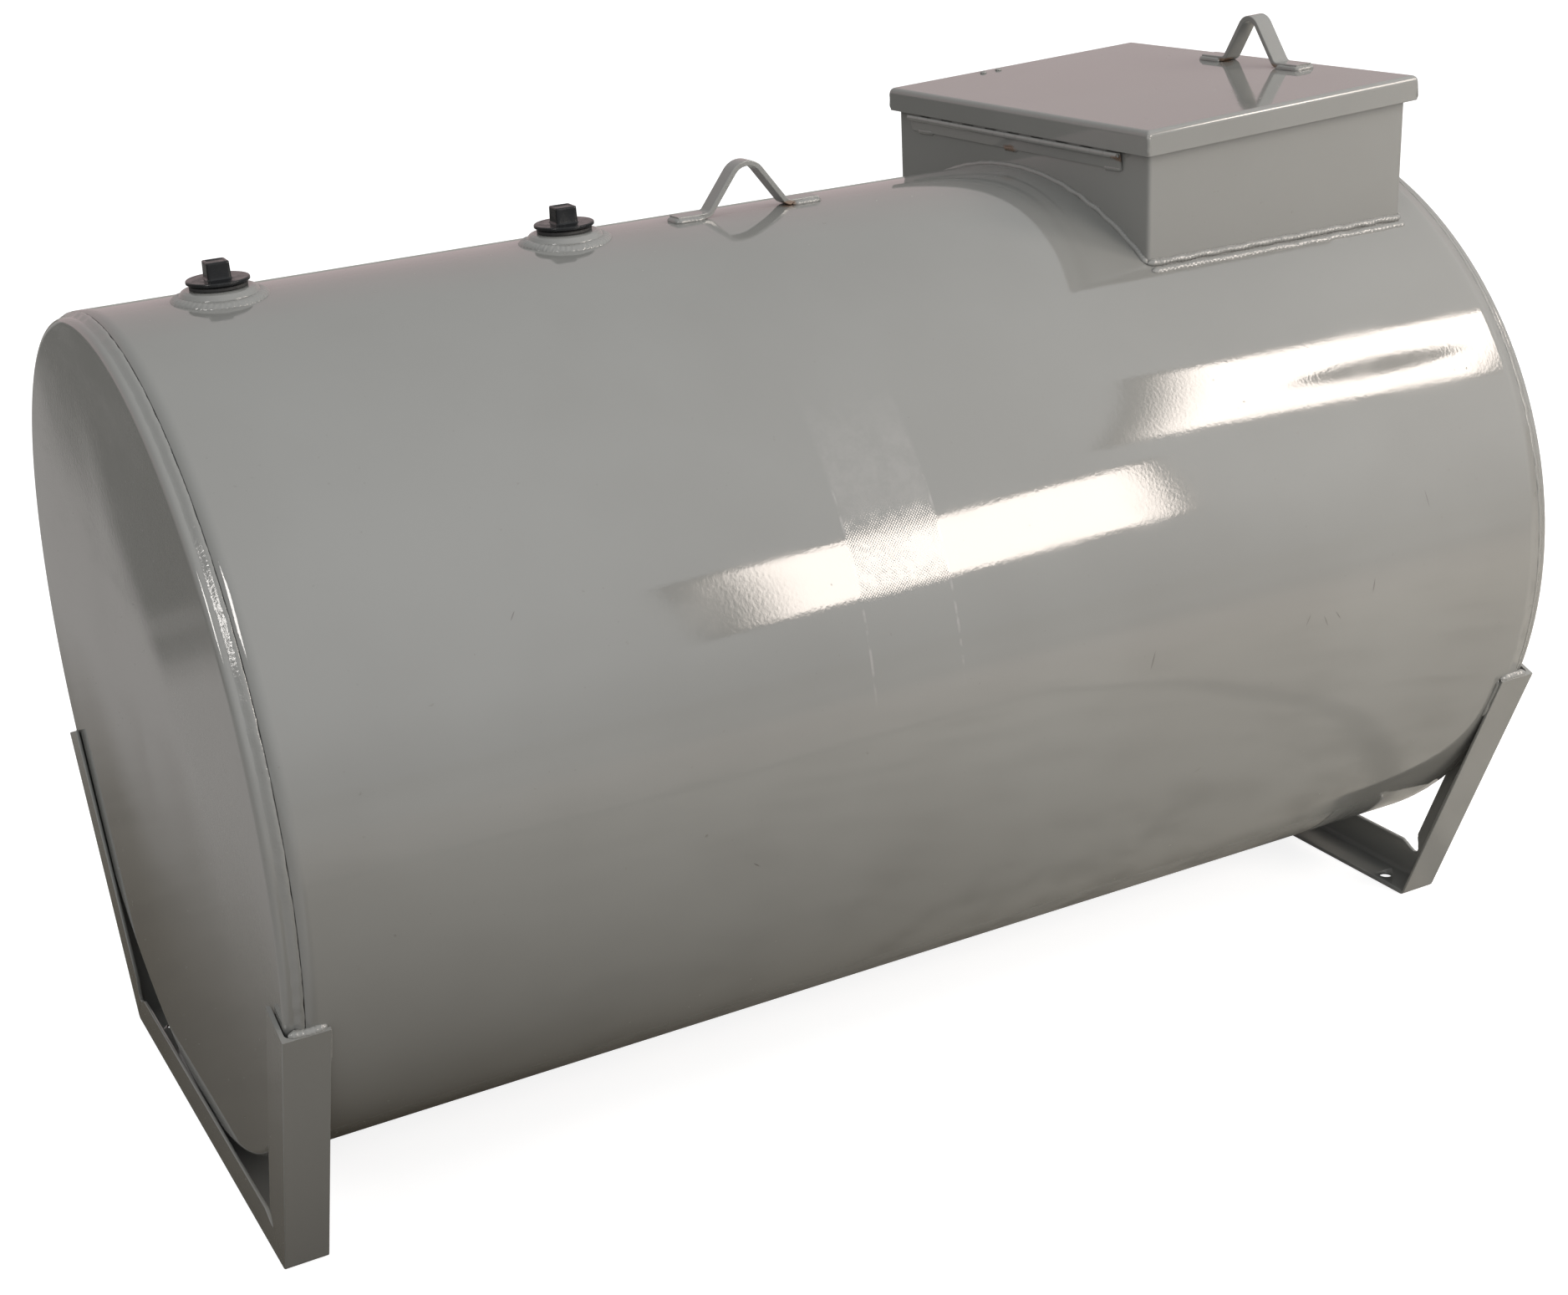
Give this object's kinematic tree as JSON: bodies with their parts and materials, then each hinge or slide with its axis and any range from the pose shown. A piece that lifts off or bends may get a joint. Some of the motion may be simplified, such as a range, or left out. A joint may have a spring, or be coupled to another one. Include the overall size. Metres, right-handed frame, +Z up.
{
  "type": "hydraulic reservoir",
  "caption": "Horizontal cylindrical steel oil tank on two welded angle cradles, with plugged top ports, a lifting lug and a hinged-lid compartment over the filler.",
  "frame": {"origin": "on the floor under the middle of the tank, halfway between the cradles", "axes": "+X along the tank towards the end with the compartment, +Y across it, +Z up; the lid opens towards -X"},
  "size_m": [1.633, 0.9652, 1.1429],
  "materials": {
    "grey_paint": "glossy enamel over welded steel",
    "black_plastic": "glossy moulded",
    "black_rubber": "matt",
    "zinc_steel": "zinc plated"
  },
  "bodies": {
    "tank": {"tank_shell": "grey_paint", "left_head": "grey_paint", "right_head": "grey_paint", "baffle_plate": "grey_paint", "left_cradle": "grey_paint", "right_cradle": "grey_paint", "left_bung": "grey_paint", "centre_bung": "grey_paint", "lifting_lug": "grey_paint", "compartment_box": "grey_paint", "hinge_box_leaf": "grey_paint", "hinge_pin": "zinc_steel", "filler_neck": "grey_paint", "filler_strainer": "zinc_steel"},
    "lid": {"hinge_lid_leaf": "grey_paint", "lid_panel": "grey_paint", "lid_seal": "black_rubber", "lid_stay_tab": "zinc_steel", "lid_rivet_1": "grey_paint", "lid_rivet_2": "grey_paint", "lid_handle": "grey_paint"},
    "left_plug_ring": {"left_plug_seal": "black_rubber"},
    "left_plug": {"left_plug": "black_plastic"},
    "centre_plug_ring": {"centre_plug_seal": "black_rubber"},
    "centre_plug": {"centre_plug": "black_plastic"},
    "filler_ring": {"filler_seal": "black_rubber"},
    "filler_cap": {"filler_cap": "zinc_steel"}
  },
  "joints": [
    {"name": "lid_hinge", "type": "hinge", "parent": "tank", "child": "lid", "pos_m": [0.35906, 0, 1.03279], "axis": [0, -1, 0], "range_deg": [0, 155]},
    {"name": "left_plug_rise", "type": "slide", "parent": "tank", "child": "left_plug_ring", "axis": [0, 0, 1], "range_m": [0, 0.0155]},
    {"name": "left_plug_turn", "type": "hinge", "parent": "left_plug_ring", "child": "left_plug", "pos_m": [-0.6526, 0, 1.01], "axis": [0, 0, 1], "range_deg": [0, 2520]},
    {"name": "centre_plug_rise", "type": "slide", "parent": "tank", "child": "centre_plug_ring", "axis": [0, 0, 1], "range_m": [0, 0.0155]},
    {"name": "centre_plug_turn", "type": "hinge", "parent": "centre_plug_ring", "child": "centre_plug", "pos_m": [-0.2469, 0, 1.01], "axis": [0, 0, 1], "range_deg": [0, 2520]},
    {"name": "filler_cap_rise", "type": "slide", "parent": "tank", "child": "filler_ring", "axis": [0, 0, 1], "range_m": [0, 0.00954]},
    {"name": "filler_cap_turn", "type": "hinge", "parent": "filler_ring", "child": "filler_cap", "pos_m": [0.5545, 0, 1.03], "axis": [0, 0, 1], "range_deg": [0, 1080]}
  ],
  "couplings": [
    {"joint": "left_plug_rise", "follows": "left_plug_turn", "m_per_rad": 0.00035152},
    {"joint": "centre_plug_rise", "follows": "centre_plug_turn", "m_per_rad": 0.00035152},
    {"joint": "filler_cap_rise", "follows": "filler_cap_turn", "m_per_rad": 0.00050532}
  ]
}
